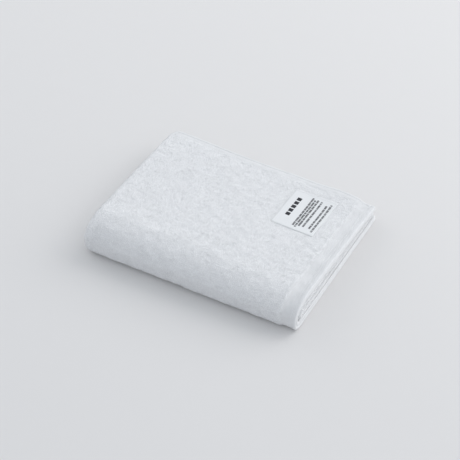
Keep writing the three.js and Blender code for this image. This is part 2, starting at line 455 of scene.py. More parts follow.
        loose = self.looseness(x, back, at["upper"])
        share = np.clip((level - INMOST) / (OUTER - INMOST), 0, 1)
        spacing = step + loose / (OUTER - INMOST)
        pressed = smooth(x, self.pile_edge - 4 * MM, self.right - 4 * MM)
        gap = mix(self.cloth.gap, PRESSED_GAP, pressed)
        half = np.minimum(spacing - gap, self.cloth.puffed) / 2
        settle = at["outerness"] * (plush - thick) / 2 * (1 - 2 * at["upper"])
        inner_q = step * level + share * loose
        outer_q = step * level + settle + at["outerness"] * loose

        outermost = at["outerness"] * (side > 0)
        reach = mix(half, thick / 2, outermost) - cut
        first = (middle_x + normal_x * reach,
                 mix(inner_q, outer_q, outermost) + normal_q * reach)
        second = (middle_x - normal_x * half, inner_q - normal_q * half)

        nose = self.nose(at)
        side_line = self.side_line(x, level, at["upper"])
        faces = []
        for face in (first, second):
            face_x, face_q = (mix((a + b) / 2, own, nose) for a, b, own in zip(first, second, face))
            faces.append(self.wrapped(face_x, face_q, x, at["stack"], side_line, back, round_angle))
        return faces

    def under_label(self, points):
        """Which points lie under or over the label, from 0 a little way outside it to 1 inside"""
        x, y = points[..., 0], points[..., 1]
        outside = np.maximum(np.maximum(LABEL_LOW.x - x, x - LABEL_HIGH.x),
                             np.maximum(LABEL_LOW.y - y, y - LABEL_HIGH.y))
        return 1 - smooth(outside, -1 * MM, 3 * MM)

    def top(self, x, y):
        """Height of the plush on top, behind the crown line"""
        crown = self.crown_line(x)
        back = np.clip((y - crown) / (self.back - SIDE_INSET - crown), 0, 1)
        return self.height(x, back) + self.looseness(x, back, 1)


def lengths(points, axis):
    """Distance gone along an axis of a grid of points"""
    steps = np.linalg.norm(np.diff(points, axis=axis), axis=-1)
    first = np.zeros_like(np.take(steps, [0], axis=axis))
    return np.concatenate([first, np.cumsum(steps, axis=axis)], axis=axis)


def sheet_faces(rows, columns):
    """Quads of a closed sheet whose vertices are, for each row and column, one on either face"""
    grid = np.arange(rows * columns * 2).reshape(rows, columns, 2)
    face, other = grid[..., 0], grid[..., 1]

    def quads(a, b, c, d):
        return np.stack([a, c, b, d], axis=-1).reshape(-1, 4)[:, [0, 3, 1, 2]]

    made = [
        quads(face[:-1, :-1], face[1:, :-1], face[1:, 1:], face[:-1, 1:]),
        quads(other[:-1, :-1], other[:-1, 1:], other[1:, 1:], other[1:, :-1]),
        quads(other[:-1, 0], other[1:, 0], face[1:, 0], face[:-1, 0]),
        quads(face[:-1, -1], face[1:, -1], other[1:, -1], other[:-1, -1]),
        quads(face[0, :-1], face[0, 1:], other[0, 1:], other[0, :-1]),
        quads(other[-1, :-1], other[-1, 1:], face[-1, 1:], face[-1, :-1]),
    ]
    return np.concatenate(made)


def new_piece(name, points, faces, material):
    """A smooth mesh object at the origin, with its place in its mesh"""
    mesh = bpy.data.meshes.new(name)
    mesh.from_pydata(np.asarray(points).tolist(), [], [list(map(int, f)) for f in faces])
    mesh.update()
    piece = bpy.data.objects.new(name, mesh)
    bpy.context.scene.collection.objects.link(piece)
    mesh.shade_smooth()
    if material is not None:
        mesh.materials.append(material)
    return piece


def set_values(mesh, name, values):
    """A number at each vertex"""
    layer = mesh.attributes.new(name, "FLOAT", "POINT")
    layer.data.foreach_set("value", np.asarray(values, np.float32).ravel())


def set_uv(mesh, name, flat):
    """A UV map in metres of flat cloth, from one pair at each vertex"""
    layer = mesh.uv_layers.new(name=name)
    corners = np.zeros(len(mesh.loops), np.int32)
    mesh.loops.foreach_get("vertex_index", corners)
    layer.data.foreach_set("uv", np.asarray(flat, np.float32)[corners].ravel())


class Tree:
    """A few short words for building a node tree"""

    def __init__(self, tree):
        self.tree = tree
        self.column = 0

    def add(self, kind, inputs=None, **settings):
        node = self.tree.nodes.new(kind)
        node.location = (self.column * 190, 0)
        self.column += 1
        for key, value in settings.items():
            setattr(node, key, value)
        for key, value in (inputs or {}).items():
            self.put(value, node.inputs[key])
        return node

    def put(self, value, socket):
        """Links a socket, or sets a plain value"""
        if isinstance(value, bpy.types.NodeSocket):
            self.tree.links.new(value, socket)
        else:
            socket.default_value = value

    def math(self, operation, *values, kind="ShaderNodeMath"):
        node = self.add(kind, operation=operation)
        for socket, value in zip(node.inputs, values):
            self.put(value, socket)
        return node.outputs[0]

    def scaled(self, vector, factor):
        """A vector or colour times a number"""
        scaled = self.math("SCALE", vector, kind="ShaderNodeVectorMath")
        self.put(factor, scaled.node.inputs["Scale"])
        return scaled

    def attribute(self, name, kind="FLOAT"):
        """A named value of the geometry, in geometry nodes"""
        return self.add("GeometryNodeInputNamedAttribute", {"Name": name},
                        data_type=kind).outputs["Attribute"]

    def random(self, low, high, seed, kind="FLOAT"):
        """A random value for each point or instance, in geometry nodes"""
        node = self.add("FunctionNodeRandomValue", data_type=kind)
        named = {socket.name: socket for socket in node.inputs if socket.enabled}
        for key, value in (("Min", low), ("Max", high), ("Seed", seed)):
            self.put(value, named[key])
        return next(socket for socket in node.outputs if socket.enabled)

    def realized(self, instances, tone, material, lowest=None):
        """Instances with a tone each, made real, kept above a lowest height and given a material"""
        toned = self.add("GeometryNodeStoreNamedAttribute", {
            "Geometry": instances, "Name": "tone", "Value": tone,
        }, data_type="FLOAT", domain="INSTANCE")
        real = self.add("GeometryNodeRealizeInstances", {"Geometry": toned.outputs["Geometry"]})
        laid = real.outputs["Geometry"]
        if lowest is not None:
            place = self.add("GeometryNodeInputPosition").outputs["Position"]
            parts = self.add("ShaderNodeSeparateXYZ", {"Vector": place}).outputs
            resting = self.add("ShaderNodeCombineXYZ", {
                "X": parts["X"], "Y": parts["Y"], "Z": self.math("MAXIMUM", parts["Z"], lowest)})
            laid = self.add("GeometryNodeSetPosition", {
                "Geometry": laid, "Position": resting.outputs["Vector"]}).outputs["Geometry"]
        return self.add("GeometryNodeSetMaterial", {
            "Geometry": laid, "Material": material}).outputs["Geometry"]


def new_group(name, kind, sockets):
    """A node group with its inputs and outputs, and the nodes that stand for them"""
    group = bpy.data.node_groups.new(name, kind)
    for way, title, socket_type, default in sockets:
        socket = group.interface.new_socket(title, in_out=way, socket_type=socket_type)
        if default is not None:
            socket.default_value = default
    tree = Tree(group)
    return group, tree, tree.add("NodeGroupInput"), tree.add("NodeGroupOutput")


def weave_group():
    """Plain weave: the height of threads that pass over and under each other"""
    name = "Plain weave"
    if name in bpy.data.node_groups:
        return bpy.data.node_groups[name]
    group, tree, start, end = new_group(name, "ShaderNodeTree", [
        ("INPUT", "Flat Cloth", "NodeSocketVector", None),
        ("INPUT", "Threads per Metre", "NodeSocketFloat", 1800.0),
        ("OUTPUT", "Height", "NodeSocketFloat", None),
    ])
    wobble = tree.add("ShaderNodeTexNoise", {"Vector": start.outputs["Flat Cloth"],
                                             "Scale": 400.0, "Detail": 2.0})
    shift = tree.scaled(wobble.outputs["Color"], 0.9)
    scaled = tree.scaled(start.outputs["Flat Cloth"], start.outputs["Threads per Metre"])
    moved = tree.math("ADD", scaled, shift, kind="ShaderNodeVectorMath")
    parts = tree.add("ShaderNodeSeparateXYZ", {"Vector": moved})
    along, across = parts.outputs["X"], parts.outputs["Y"]

    def thread(over, beside, phase):
        """Height of one set of threads: round across, and over every other crossing thread"""
        profile = tree.math("ABSOLUTE", tree.math("SINE", tree.math("MULTIPLY", beside, PI)))
        turn = tree.math("MULTIPLY", tree.math("FLOOR", beside), PI)
        way = tree.math("ADD", tree.math("MULTIPLY", over, PI), tree.math("ADD", turn, phase))
        rise = tree.math("MULTIPLY_ADD", tree.math("SINE", way), 0.5, 0.5)
        return tree.math("MULTIPLY", profile, rise)

    height = tree.math("MAXIMUM", thread(along, across, 0.0), thread(across, along, PI / 2))
    tree.put(height, end.inputs["Height"])
    return group


def mottle_group():
    """Cotton's soft unevenness: lighter and darker places, and the height of loose fibres"""
    name = "Cotton mottle"
    if name in bpy.data.node_groups:
        return bpy.data.node_groups[name]
    group, tree, start, end = new_group(name, "ShaderNodeTree", [
        ("INPUT", "Place", "NodeSocketVector", None),
        ("INPUT", "Colour", "NodeSocketColor", (0.8, 0.8, 0.8, 1)),
        ("INPUT", "Clump Scale", "NodeSocketFloat", 140.0),
        ("INPUT", "Fibre Scale", "NodeSocketFloat", 2600.0),
        ("INPUT", "Strength", "NodeSocketFloat", 0.1),
        ("OUTPUT", "Colour", "NodeSocketColor", None),
        ("OUTPUT", "Fibres", "NodeSocketFloat", None),
    ])
    clumps = tree.add("ShaderNodeTexNoise", {"Vector": start.outputs["Place"], "Detail": 3.0,
                                             "Scale": start.outputs["Clump Scale"]})
    fibres = tree.add("ShaderNodeTexNoise", {"Vector": start.outputs["Place"], "Detail": 3.0,
                                             "Scale": start.outputs["Fibre Scale"]})
    both = tree.math("ADD", clumps.outputs["Fac"], fibres.outputs["Fac"])
    spread = tree.math("MULTIPLY", tree.math("SUBTRACT", both, 1.0), start.outputs["Strength"])
    shade = tree.scaled(start.outputs["Colour"], tree.math("ADD", spread, 1.0))
    tree.put(shade, end.inputs["Colour"])
    tree.put(fibres.outputs["Fac"], end.inputs["Fibres"])
    return group


def new_material(name):
    """A material with its tree emptied down to the Principled shader"""
    material = bpy.data.materials.new(name)
    material.use_nodes = True
    tree = Tree(material.node_tree)
    shader = material.node_tree.nodes["Principled BSDF"]
    return material, tree, shader


def group_node(tree, group, inputs):
    return tree.add("ShaderNodeGroup", inputs, node_tree=group)


def mottled(tree, colour, strength, inputs=None):
    """The cotton mottle of a colour, at the object's own coordinates"""
    place = tree.add("ShaderNodeTexCoord").outputs["Object"]
    return group_node(tree, mottle_group(), {
        "Place": place, "Colour": (*colour, 1), "Strength": strength, **(inputs or {})})


def cloth_material(colour):
    """The towel's ground: fibres under the pile, and plain weave where the pile is left out"""
    material, tree, shader = new_material("Cotton ground")
    mottle = mottled(tree, colour, 0.1)
    weave = group_node(tree, weave_group(), {
        "Flat Cloth": tree.add("ShaderNodeUVMap", uv_map="Flat cloth").outputs["UV"],
        "Threads per Metre": 1500.0})
    plush = tree.add("ShaderNodeAttribute", attribute_name="plush").outputs["Fac"]
    fuzz = tree.add("ShaderNodeTexNoise", {
        "Vector": tree.add("ShaderNodeTexCoord").outputs["Object"], "Scale": 900.0, "Detail": 4.0})
    height = tree.add("ShaderNodeMix", {"Factor": plush, "A": weave.outputs["Height"],
                                        "B": fuzz.outputs["Fac"]})
    total = tree.math("MULTIPLY_ADD", mottle.outputs["Fibres"], 0.35, height.outputs["Result"])
    bump = tree.add("ShaderNodeBump", {"Height": total, "Strength": 0.7, "Distance": 0.3 * MM})
    # Painted shade: where the weave's threads lie low, between the high threads, the colour is
    # darker; on the pile the fuzz noise gives a random tone instead
    ground_and_hollow_shade = tree.math("MULTIPLY_ADD", height.outputs["Result"], WEAVE_HOLLOW_SHADE, GROUND_SHADE)
    # Painted highlight: the rims along the back side and the hem end are made lighter in colour,
    # where the light catches them
    edge = tree.add("ShaderNodeAttribute", attribute_name="edge").outputs["Fac"]
    shade = tree.math("MULTIPLY_ADD", edge, RIM_HIGHLIGHT, ground_and_hollow_shade)
    tree.put(tree.scaled(mottle.outputs["Colour"], shade), shader.inputs["Base Color"])
    tree.put(bump.outputs["Normal"], shader.inputs["Normal"])
    shader.inputs["Roughness"].default_value = 0.95
    shader.inputs["Sheen Weight"].default_value = 0.25
    shader.inputs["Sheen Roughness"].default_value = 0.6
    return material


def yarn_material(name, colour, fibre_scale, strength):
    """Soft cotton yarn, each loop or stitch a little lighter or darker than the next"""
    material, tree, shader = new_material(name)
    mottle = mottled(tree, colour, strength, {"Fibre Scale": fibre_scale})
    tone = tree.add("ShaderNodeAttribute", attribute_name="tone").outputs["Fac"]
    shade = tree.scaled(mottle.outputs["Colour"], tree.math("MULTIPLY_ADD", tone, 0.05, 0.975))
    bump = tree.add("ShaderNodeBump", {"Height": mottle.outputs["Fibres"], "Strength": 0.5,
                                       "Distance": 0.15 * MM})
    tree.put(shade, shader.inputs["Base Color"])
    tree.put(bump.outputs["Normal"], shader.inputs["Normal"])
    shader.inputs["Roughness"].default_value = 0.95
    shader.inputs["Sheen Weight"].default_value = 0.3
    shader.inputs["Sheen Roughness"].default_value = 0.5
    return material


def satin_material(colour):
    """Fine satin with a slight sheen"""
    material, tree, shader = new_material("Label satin")
    mottle = mottled(tree, colour, 0.03)
    weave = group_node(tree, weave_group(), {
        "Flat Cloth": tree.add("ShaderNodeUVMap", uv_map="Flat cloth").outputs["UV"],
        "Threads per Metre": 3600.0})
    rough = tree.math("MULTIPLY_ADD", weave.outputs["Height"], -0.15, 0.62)
    bump = tree.add("ShaderNodeBump", {"Height": weave.outputs["Height"], "Strength": 0.35,
                                       "Distance": 0.1 * MM})
    tree.put(mottle.outputs["Colour"], shader.inputs["Base Color"])
    tree.put(rough, shader.inputs["Roughness"])
    tree.put(bump.outputs["Normal"], shader.inputs["Normal"])
    shader.inputs["Sheen Weight"].default_value = 0.15
    return material


def ink_material(colour):
    """Dark ink, a little worn by the weave under it"""
    material, tree, shader = new_material("Label ink")
    mottle = mottled(tree, colour, 0.5)
    tree.put(mottle.outputs["Colour"], shader.inputs["Base Color"])
    rough = tree.math("MULTIPLY_ADD", mottle.outputs["Fibres"], 0.2, 0.55)
    tree.put(rough, shader.inputs["Roughness"])
    return material


def tube(centres, sides, thickness):
    """Points and faces of a closed tube round a line of points in the XZ plane, with end caps"""
    centres = np.asarray(centres, float)
    tangents = np.gradient(centres, axis=0)
    tangents /= np.linalg.norm(tangents, axis=1)[:, None]
    beside = np.array([0.0, 1.0, 0.0])
    across = np.cross(tangents, beside)
    across /= np.linalg.norm(across, axis=1)[:, None]
    second = np.cross(tangents, across)
    points = []
    for k in range(sides):
        turn = 2 * PI * k / sides + PI
        points.append(centres + thickness[:, None] / 2
                      * (across * math.cos(turn) + second * math.sin(turn)))
    points = np.stack(points, axis=1).reshape(-1, 3)
    faces = []
    count = len(centres)
    for i in range(count - 1):
        for k in range(sides):
            a, b = i * sides + k, i * sides + (k + 1) % sides
            faces.append((a, b, b + sides, a + sides))
    faces.append(tuple(range(sides))[::-1])
    faces.append(tuple(range((count - 1) * sides, count * sides)))
    return points, faces


def loop_shapes(pile):
    """A few loops of yarn in given shapes, in a collection of their own, for the pile to pick from"""
    shapes = bpy.data.collections.new("Pile loops")
    angles = np.radians([0, 58, 122, 180])
    looks = [(1.0, 0.0, 0.0), (0.8, 0.25, 0.2), (1.15, -0.2, -0.25), (0.9, 0.1, 0.45)]
    for number, (share, skew, twist) in enumerate(looks):
        width, height = pile.width * share, pile.height * (1.1 - 0.2 * share)
        x = -np.cos(angles) * width / 2 + skew * width * np.sin(angles)
        y = twist * width * np.sin(2 * angles)
        z = height * np.sin(angles) - 0.55 * pile.yarn
        thickness = pile.yarn * np.array([0.8, 1.1, 1.1, 0.8])
        points, faces = tube(np.stack([x, y, z], axis=1), 3, thickness)
        loop = new_piece(f"loop_{number}", points, faces, None)
        bpy.context.scene.collection.objects.unlink(loop)
        shapes.objects.link(loop)
    return shapes


def pile_tree():
    """Geometry nodes: loops of yarn spread over a region of the cloth, leaning in soft clumps"""
    group, tree, start, end = new_group("Terry pile", "GeometryNodeTree", [
        ("OUTPUT", "Geometry", "NodeSocketGeometry", None),
        ("INPUT", "Geometry", "NodeSocketGeometry", None),
        ("INPUT", "Loops", "NodeSocketCollection", None),
        ("INPUT", "Region", "NodeSocketString", None),
        ("INPUT", "Spacing", "NodeSocketFloat", 1.5 * MM),
        ("INPUT", "Lean", "NodeSocketFloat", 0.5),
        ("INPUT", "Seed", "NodeSocketInt", 1),
        ("INPUT", "Yarn", "NodeSocketMaterial", None),
    ])
    given = start.outputs

    def random(low, high, shift, kind="FLOAT"):
        return tree.random(low, high, tree.math("ADD", given["Seed"], shift), kind)

    spread = tree.add("GeometryNodeDistributePointsOnFaces", {
        "Mesh": given["Geometry"], "Distance Min": given["Spacing"], "Density Max": 3.0e6,
        "Density Factor": tree.attribute(given["Region"]), "Seed": given["Seed"],
    }, distribute_method="POISSON")

    place = tree.add("GeometryNodeInputPosition").outputs["Position"]
    clump = tree.add("ShaderNodeTexNoise", {"Vector": place, "Scale": 130.0, "Detail": 1.0})
    centred = tree.math("SUBTRACT", clump.outputs["Color"], (0.5, 0.5, 0.5),
                        kind="ShaderNodeVectorMath")
    sway = tree.scaled(centred, tree.math("MULTIPLY", given["Lean"], 4.0))
    spin = random((-0.35, -0.35, 0.0), (0.35, 0.35, 2 * PI), 11, "FLOAT_VECTOR")
    turned = tree.add("FunctionNodeRotateRotation", {
        "Rotation": spread.outputs["Rotation"],
        "Rotate By": tree.add("FunctionNodeEulerToRotation", {"Euler": spin}).outputs[0],
    }, rotation_space="LOCAL")
    swayed = tree.add("FunctionNodeRotateRotation", {
        "Rotation": turned.outputs["Rotation"],
        "Rotate By": tree.add("FunctionNodeEulerToRotation", {"Euler": sway}).outputs[0],
    }, rotation_space="GLOBAL")
    size = random(0.8, 1.2, 23)
    scale = tree.add("ShaderNodeCombineXYZ", {
        "X": size, "Y": size, "Z": tree.math("MULTIPLY", size, tree.attribute("nap"))})
    placed = tree.add("GeometryNodeInstanceOnPoints", {
        "Points": spread.outputs["Points"],
        "Instance": tree.add("GeometryNodeCollectionInfo", {
            "Collection": given["Loops"], "Separate Children": True, "Reset Children": True,
        }).outputs["Instances"],
        "Pick Instance": True, "Rotation": swayed.outputs["Rotation"],
        "Scale": scale.outputs["Vector"]})
    finish = tree.realized(placed.outputs["Instances"], random(0.0, 1.0, 31), given["Yarn"],
                           lowest=0.05 * MM)
    tree.put(finish, end.inputs["Geometry"])
    return group


def stitch_tree():
    """Geometry nodes: stitches of thread at an even pitch along a line that knows its upward side"""
    group, tree, start, end = new_group("Stitch row", "GeometryNodeTree", [
        ("OUTPUT", "Geometry", "NodeSocketGeometry", None),
        ("INPUT", "Geometry", "NodeSocketGeometry", None),
        ("INPUT", "Stitch", "NodeSocketObject", None),
        ("INPUT", "Pitch", "NodeSocketFloat", 2.4 * MM),
        ("INPUT", "Seed", "NodeSocketInt", 1),
        ("INPUT", "Thread", "NodeSocketMaterial", None),
    ])
    given = start.outputs
    line = tree.add("GeometryNodeMeshToCurve", {"Mesh": given["Geometry"]})
    even = tree.add("GeometryNodeResampleCurve", {"Curve": line.outputs["Curve"],
                                                  "Length": given["Pitch"]}, mode="LENGTH")
    along = tree.add("GeometryNodeInputTangent").outputs["Tangent"]
    first = tree.add("FunctionNodeAlignRotationToVector", {"Vector": along}, axis="X")
    second = tree.add("FunctionNodeAlignRotationToVector", {
        "Rotation": first.outputs["Rotation"], "Vector": tree.attribute("up", "FLOAT_VECTOR"),
    }, axis="Z", pivot_axis="X")
    stitch = tree.add("GeometryNodeObjectInfo", {"Object": given["Stitch"]})
    size = tree.random(0.9, 1.1, given["Seed"])
    placed = tree.add("GeometryNodeInstanceOnPoints", {
        "Points": even.outputs["Curve"], "Instance": stitch.outputs["Geometry"],
        "Rotation": second.outputs["Rotation"], "Scale": size})
    finish = tree.realized(placed.outputs["Instances"], size, given["Thread"])
    tree.put(finish, end.inputs["Geometry"])
    return group


def grown(source, name, tree, inputs):
    """A plain mesh piece: what a geometry node tree makes of an object"""
    modifier = source.modifiers.new("Growth", "NODES")
    modifier.node_group = tree
    sockets = {s.name: s.identifier for s in tree.interface.items_tree if s.in_out == "INPUT"}
    for key, value in inputs.items():
        modifier[sockets[key]] = value
    depsgraph = bpy.context.evaluated_depsgraph_get()
    mesh = bpy.data.meshes.new_from_object(
        source.evaluated_get(depsgraph), preserve_all_data_layers=True, depsgraph=depsgraph)
    source.modifiers.remove(modifier)
    if not mesh.polygons:
        raise RuntimeError(f"{name} came out empty")
    mesh.name = name
    mesh.shade_smooth()
    piece = bpy.data.objects.new(name, mesh)
    bpy.context.scene.collection.objects.link(piece)
    return piece


def discard(thing):
    """Removes a helper object and its mesh"""
    mesh = thing.data
    bpy.data.objects.remove(thing)
    bpy.data.meshes.remove(mesh)


def current_folds():
    return Folds(bpy.context.scene.towel_cloth)


PILE_REGIONS = ("pile_top_left", "pile_top_right", "pile_front", "pile_ends", "pile_under")


def region_shares(at, station_angle, face_out):
    """For each region of pile, how much of it each vertex has; they add up to the plush share"""
    plush = at["plush"] * face_out
    x, upper = at["x"] + 0 * at["back"], at["upper"]
    top = smooth(upper, 0.55, 0.6)
    under = 1 - smooth(upper, 0.1, 0.14)
    round_end = (np.abs(station_angle) > 0) * 1.0
    right = smooth(x, -1 * MM, 1 * MM)
    shares = {
        "pile_top_left": top * (1 - right) * (1 - round_end),
        "pile_top_right": top * right * (1 - round_end),
        "pile_front": (1 - top) * (1 - under) * (1 - round_end),
        "pile_ends": round_end + 0 * top,
        "pile_under": under * (1 - round_end),
    }
    return {name: share * plush for name, share in shares.items()}


class TOWEL_OT_cloth(bpy.types.Operator):
    """Build the folded cloth with its hems, in place of the plain one"""

    bl_idname = "towel.cloth"
    bl_label = "Folded Cloth"

    def execute(self, context):
        cloth = context.scene.towel_cloth
        folds = current_folds()
        stations = folds.stations(plush_steps=86, hem_steps=24)
        places = folds.places()
        at = folds.facts(stations, places)
        flat_faces = folds.faces(stations, places)
        middle = (flat_faces[0] + flat_faces[1]) / 2
        u, v = lengths(middle, 0), lengths(middle, 1)
        flat = np.stack([np.broadcast_to(u[:, :1], u.shape), v], axis=-1)

        outer = at["outerness"]
        shape = u.shape
        plush = np.broadcast_to(at["plush"], shape)
        off_floor = smooth(np.broadcast_to(at["upper"], shape), 0.03, 0.2)
        rise = sum(share * ripple(flat, size, seed) for share, size, seed in RELIEF_WAVES)
        covered = folds.under_label(flat_faces[0]) * np.broadcast_to(at["upper"], shape)
        root = context.scene.towel_pile.root
        cut = outer * plush * (root - cloth.relief * rise * off_floor * (1 - covered))
        hem_pucker = (1 - plush) * PUCKER * ripple(flat, 3 * MM, 5) * off_floor
        faces = folds.faces(stations, places, cut - outer * hem_pucker)

        points = np.stack(faces, axis=2).reshape(-1, 3)
        points[:, 2] = np.maximum(points[:, 2], 0)
        piece = new_piece("folded_cloth", points, sheet_faces(*shape),
                          cloth_material(cloth.colour))
        mesh = piece.data
        set_uv(mesh, "Flat cloth", np.repeat(flat.reshape(-1, 2), 2, axis=0))
        set_values(mesh, "plush", np.repeat(plush.reshape(-1), 2))
        # Painted highlight along the rims at the back side and the hem end, where the light catches
        # them
        end_painted_light, side_painted_light = (
            smooth(middle[..., axis], outline - start, outline - full)
            for axis, outline, (start, full) in ((0, folds.right, END_HIGHLIGHT),
                                                 (1, folds.back, SIDE_HIGHLIGHT)))
        set_values(mesh, "edge", np.repeat(np.maximum(end_painted_light, side_painted_light).reshape(-1), 2))

        angle = np.broadcast_to(stations[3], shape)
        turned = np.broadcast_to(stations[2] > 0, shape)
        visible = np.where(turned, np.broadcast_to(stations[4] > 0, shape), outer > 0.99)
        for name, share in region_shares(at, angle * turned, visible).items():
            bare = np.where(covered > 0.99, 0, share)
            both = np.stack([np.broadcast_to(bare, shape), np.zeros(shape)], axis=-1)
            set_values(mesh, name, both)
        nap = mix(NAP_ON_FLOOR, 1.0, off_floor) * (1 + NAP_WAVE * ripple(flat, 9 * MM, 12))
        front = np.sin(np.broadcast_to(places[1], shape)) * off_floor
        nap = nap * (1 + NAP_ROUND_FRONT * front)
        set_values(mesh, "nap", np.repeat(nap.reshape(-1), 2))

        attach(piece, "root")
        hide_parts("towel_cloth")
        return {"FINISHED"}


class TOWEL_OT_pile(bpy.types.Operator):
    """Spread the looped pile over the cloth, in a few pieces"""

    bl_idname = "towel.pile"
    bl_label = "Looped Pile"

    def execute(self, context):
        pile = context.scene.towel_pile
        cloth = bpy.data.objects["folded_cloth"]
        yarn = yarn_material("Pile yarn", context.scene.towel_cloth.colour, 2600.0, 0.06)
        shapes = loop_shapes(pile)
        tree = pile_tree()
        spacings = {"pile_ends": 1.15, "pile_under": 2.0}
        for number, region in enumerate(PILE_REGIONS):
            piece = grown(cloth, region, tree, {
                "Loops": shapes, "Region": region, "Lean": pile.lean,
                "Spacing": pile.spacing * spacings.get(region, 1.0),
                "Seed": pile.seed + number, "Yarn": yarn})
            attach(piece, "root")
        for loop in list(shapes.objects):
            discard(loop)
        bpy.data.collections.remove(shapes)
        return {"FINISHED"}


def seam_line(name, points, ups):
    """A line of points that know their upward side"""
    line = bpy.data.meshes.new(name)
    edges = [(i, i + 1) for i in range(len(points) - 1)]
    line.from_pydata(np.asarray(points).tolist(), edges, [])
    layer = line.attributes.new("up", "FLOAT_VECTOR", "POINT")
    layer.data.foreach_set("vector", np.asarray(ups, np.float32).ravel())
    seam = bpy.data.objects.new(name, line)
    bpy.context.scene.collection.objects.link(seam)
    return seam


def stitch_shape(seams):
    """One stitch of thread, sunk at both ends"""
    t = np.linspace(-1, 1, 5)
    x = t * seams.pitch * 0.4
    z = seams.thread * (0.45 - 0.9 * t ** 4)
    thickness = seams.thread * np.array([0.7, 1, 1.05, 1, 0.7])
    points, faces = tube(np.stack([x, 0 * x, z], axis=1), 4, thickness)
    stitch = new_piece("stitch", points, faces, None)
    bpy.context.scene.collection.objects.unlink(stitch)
    return stitch


def surface_line(folds, stations, places):
    """Points along one row or column of the cloth's outer face, and the way up from it"""
    face, other = folds.faces(stations, places)
    face = face.reshape(-1, 3)
    ups = face - other.reshape(-1, 3)
    ups /= np.linalg.norm(ups, axis=1)[:, None]
    return face, ups


class TOWEL_OT_seams(bpy.types.Operator):
    """Sew the end hem and the side hems that show"""

    bl_idname = "towel.seams"
    bl_label = "Hem Seams"

    def execute(self, context):
        seams = context.scene.towel_seams
        folds = current_folds()
        thread = yarn_material("Sewing thread", (0.9, 0.91, 0.92), 4000.0, 0.06)
        stitch = stitch_shape(seams)
        tree = stitch_tree()

        def outer_station(x):
            x = np.atleast_1d(x)[:, None]
            one = np.ones_like(x)
            return np.array([x, OUTER * one, 0 * one, 0 * one, one, folds.right * one])

        end = outer_station(folds.right - folds.end_seam)
        side = 1 - folds.side_seam / folds.width
        runs = {"end_seam": (end, folds.places())}
        along = outer_station(np.linspace(folds.left + 8 * MM, folds.right - 3 * MM, 90))
        one = np.ones((1, 1))
        runs["side_seam_top"] = (along, (side * one, PI * one))
        runs["side_seam_under"] = (along, (side * one, 0 * one))
        for number, (name, (stations, places)) in enumerate(runs.items()):
            points, ups = surface_line(folds, stations, places)
            points[:, 2] = np.maximum(points[:, 2], 1.3 * seams.thread)
            line = seam_line(name + "_line", points, ups)
            piece = grown(line, name, tree, {"Stitch": stitch, "Pitch": seams.pitch,
                                             "Seed": number + 1, "Thread": thread})
            discard(line)
            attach(piece, "root")
        discard(stitch)
        return {"FINISHED"}


class LabelSurface:
    """Where the label lies: on the pile of the top ply, sewn down at its ends"""

    def __init__(self, folds, thickness):
        self.folds = folds
        self.thickness = thickness
        self.low, self.high = LABEL_LOW, LABEL_HIGH

    def height(self, x, y):
        """Height of the label's face at a place"""
        s = (x - self.low.x) / (self.high.x - self.low.x)
        t = (y - self.low.y) / (self.high.y - self.low.y)
        round_off = np.sin(PI * np.clip(s, 0, 1)) * np.sin(PI * np.clip(t, 0, 1))
        bulge = LABEL_BULGE * np.maximum(round_off, 0) ** 0.3
        flat = np.stack(np.broadcast_arrays(x, y), axis=-1)
        waves = LABEL_WAVE * ripple(flat, 13 * MM, 21)
        return self.folds.top(x, y) + self.thickness + bulge + waves - LABEL_SINK

    def slab(self, name, x_lines, y_lines, depth, thickness, material):
        """A thin closed sheet between lines of x and y, that follows the label"""
        y, x = np.meshgrid(y_lines, x_lines)
        x = x[::-1]
        top = self.height(x, y) - depth
        faces = [np.stack([x, y, top], axis=-1), np.stack([x, y, top - thickness], axis=-1)]
        points = np.stack(faces, axis=2).reshape(-1, 3)
        return new_piece(name, points, sheet_faces(*x.shape), material)


def joined(name, pieces):
    """One object out of several"""
    with bpy.context.temp_override(active_object=pieces[0], selected_editable_objects=pieces):
        bpy.ops.object.join()
    pieces[0].name = pieces[0].data.name = name
    return pieces[0]


